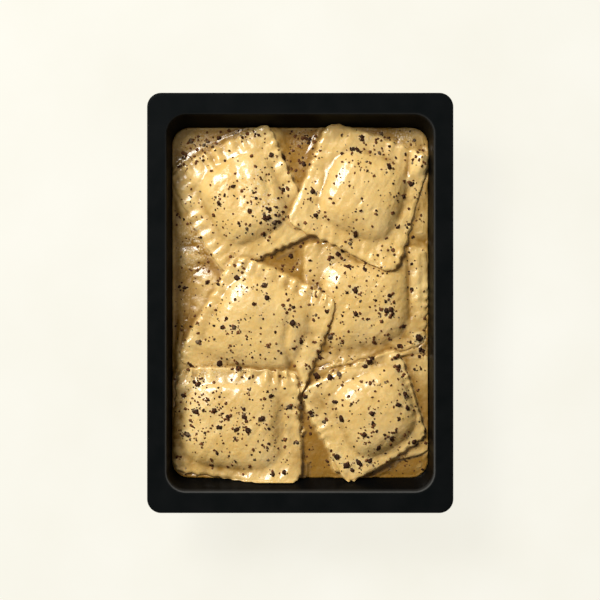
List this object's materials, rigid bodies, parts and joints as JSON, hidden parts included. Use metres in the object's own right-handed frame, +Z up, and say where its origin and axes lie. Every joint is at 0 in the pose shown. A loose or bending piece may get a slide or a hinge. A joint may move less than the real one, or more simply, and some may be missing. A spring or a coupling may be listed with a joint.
{
  "type": "ravioli in a tray",
  "caption": "Large square ravioli with fluted edges, piled in thick cream sauce with crushed pepper, in an open black plastic meal tray.",
  "frame": {"origin": "under the middle of the tray, on the surface that it stands on", "axes": "+Z up; +Y along the tray's length, towards the back edge, which is the upper edge in the picture; +X to the right"},
  "size_m": [0.137, 0.188, 0.036],
  "materials": {
    "tray_plastic": "satin",
    "sauce": "gloss",
    "pasta": "gloss"
  },
  "bodies": {
    "root": {"tray": "tray_plastic", "sauce": "sauce", "raviolo_low_middle": "pasta", "raviolo_low_front_corner": "pasta", "raviolo_low_back_middle": "pasta", "raviolo_low_front_middle": "pasta", "raviolo_low_back_left": "pasta", "raviolo_low_back_right": "pasta", "raviolo_low_front_left": "pasta", "raviolo_low_front_right": "pasta", "raviolo_low_left": "pasta", "raviolo_middle_right": "pasta", "raviolo_back_left": "pasta", "raviolo_front_right": "pasta", "raviolo_back_right": "pasta", "raviolo_middle_left": "pasta", "raviolo_front_left": "pasta"}
  },
  "joints": []
}
